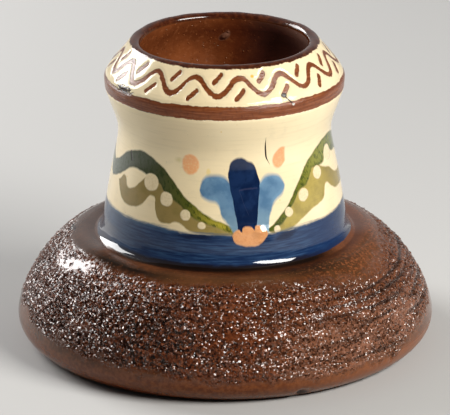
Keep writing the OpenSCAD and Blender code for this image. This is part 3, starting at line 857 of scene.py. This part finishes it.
hgt = hgt + m_brown * ((b_mid - 0.5) * 0.035 + (streak - 0.5) * 0.02)
hgt = hgt + rough_on * (facet * (0.95 + right_ * (0.3 + g.ramp(R, 43.5, 47.0) * 1.0) + left_ * (0.2 + g.ramp(R, 39.5, 43.5) * 0.7)) + grit * 0.022)
hgt = hgt + m_in * (g.ramp(run, 0.0, 0.9) * 0.45 + g.ramp(fleck, 0.17, 0.04) * 0.13 - g.ramp(fine_sp, 0.16, 0.05) * 0.06 - (b_mid - 0.5) * 0.10)
hgt = hgt * (1.0 - outer * g.ramp(Z, 28.9, 28.4) * g.ramp(R, 33.0, 32.0) * 0.9)
bump = g.node("ShaderNodeBump")
bump.inputs["Strength"].default_value = 1.0
bump.inputs["Distance"].default_value = MM
nt.links.new(hgt.s, bump.inputs["Height"])
nt.links.new(bump.outputs[0], bsdf.inputs["Normal"])
nt.links.new(col, bsdf.inputs["Base Color"])
nt.links.new(g.ramp(gl, 0.0, 1.0, soft=False).s, bsdf.inputs["Roughness"])
bsdf.inputs["IOR"].default_value = 1.5
# deep pits and the crease throw little back
shine = g.mixf(m_brown * rgh, 0.5, 0.68 + 0.15 * right_ - dull * 0.58)
shine = g.mixf(m_brown * g.mx(crease_on, g.ramp(pool, 0.0, 0.45)), shine, 0.05)
mat_sh = (1.0 - g.ramp(rgh, 0.05, 0.4)) * g.ramp(R, 34.5, 36.0) * g.ramp(Z, 18.0, 20.0) * outer * g.ramp(theta, -50.0, -35.0) * g.ramp(theta, 80.0, 60.0)
shine = g.mixf(m_brown * mat_sh, shine, 0.06)
shine = g.mixf(lit * g.ramp(g.ab(Z - 36.0), 3.5, 2.5) * (1.0 - g.edge(oval(theta + (Z - 36.1) * 0.5, Z, 6.4, 36.1, 1.45, 0.88), 0.14)), shine, 0.04)
shine = g.mixf(ft * m_brown * right_, shine, 0.30)
nt.links.new(shine.s, bsdf.inputs["Specular IOR Level"])
me.materials.append(mat)

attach(pot, "root")
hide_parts("body")

# ---------------------------------------------------------------- table, light
fm = bpy.data.meshes.new("table")
fm.from_pydata([(-3, -3, 0), (3, -3, 0), (3, 3, 0), (-3, 3, 0)], [], [(0, 1, 2, 3)])
table = bpy.data.objects.new("table", fm)
scene.collection.objects.link(table)
tm = bpy.data.materials.new("plain_table")
tm.use_nodes = True
tt = tm.node_tree
tb = tt.nodes["Principled BSDF"]
tb.inputs["Base Color"].default_value = (0.50, 0.496, 0.487, 1)
tb.inputs["Roughness"].default_value = 0.75
tb.inputs["Specular IOR Level"].default_value = 0.2
geo = tt.nodes.new("ShaderNodeNewGeometry")
clear = tt.nodes.new("ShaderNodeBsdfTransparent")
pick = tt.nodes.new("ShaderNodeMixShader")
tt.links.new(geo.outputs["Backfacing"], pick.inputs[0])
tt.links.new(tb.outputs[0], pick.inputs[1])
tt.links.new(clear.outputs[0], pick.inputs[2])
tt.links.new(pick.outputs[0], tt.nodes["Material Output"].inputs[0])
fm.materials.append(tm)


def panel(name, direction, dist, w, h, power, color=(1, 1, 1)):
    d = turned(direction).normalized()
    L = bpy.data.lights.new(name, "AREA")
    L.shape = "RECTANGLE"
    L.size, L.size_y = w, h
    L.energy = power
    L.color = color
    o = bpy.data.objects.new(name, L)
    scene.collection.objects.link(o)
    aim = Vector((0, 0, 0.035))
    o.location = aim + d * dist
    o.rotation_euler = (-d).to_track_quat("-Z", "Y").to_euler()
    return o


panel("softbox_back", (-0.708, 0.553, 0.438), 0.7, 0.44, 0.34, 5.4, (1.0, 0.99, 0.98))
panel("softbox_side", (0.653, -0.510, 0.559), 0.7, 0.42, 0.20, 6.7, (1.0, 0.98, 0.94))

world = bpy.data.worlds.new("room")
scene.world = world
world.use_nodes = True
# the room: dark behind the camera, paler beyond the table
wt_ = world.node_tree
bg = wt_.nodes["Background"]
bg.inputs[0].default_value = (0.97, 0.98, 1.0, 1)
w_co = wt_.nodes.new("ShaderNodeTexCoord")
w_dot = wt_.nodes.new("ShaderNodeVectorMath")
w_dot.operation = "DOT_PRODUCT"
w_dot.inputs[1].default_value = tuple(turned((-0.5, 0.866, 0)))
w_map = wt_.nodes.new("ShaderNodeMapRange")
w_map.interpolation_type = "SMOOTHSTEP"
for k, v in ((1, -0.5), (2, 0.95), (3, 0.06), (4, 0.46)):
    w_map.inputs[k].default_value = v
wt_.links.new(w_co.outputs["Generated"], w_dot.inputs[0])
wt_.links.new(w_dot.outputs["Value"], w_map.inputs[0])
wt_.links.new(w_map.outputs[0], bg.inputs[1])

scene.view_settings.view_transform = "Standard"
scene.view_settings.look = "None"
scene.view_settings.exposure = 0.0
scene.view_settings.gamma = 1.0
# the photograph's darks are printed down a little
scene.view_settings.use_curve_mapping = True
tone = scene.view_settings.curve_mapping
tone.black_level = (0.0, 0.0, 0.0)
tone.white_level = (1.0, 1.0, 1.0)
toe = tone.curves[3]
for a, b in ((0.012, 0.0056), (0.024, 0.0148), (0.05, 0.0392), (0.12, 0.1085)):
    toe.points.new(a, b)
for q in toe.points:
    q.handle_type = "VECTOR"
scene.view_settings.curve_mapping.update()

bpy.context.view_layer.update()
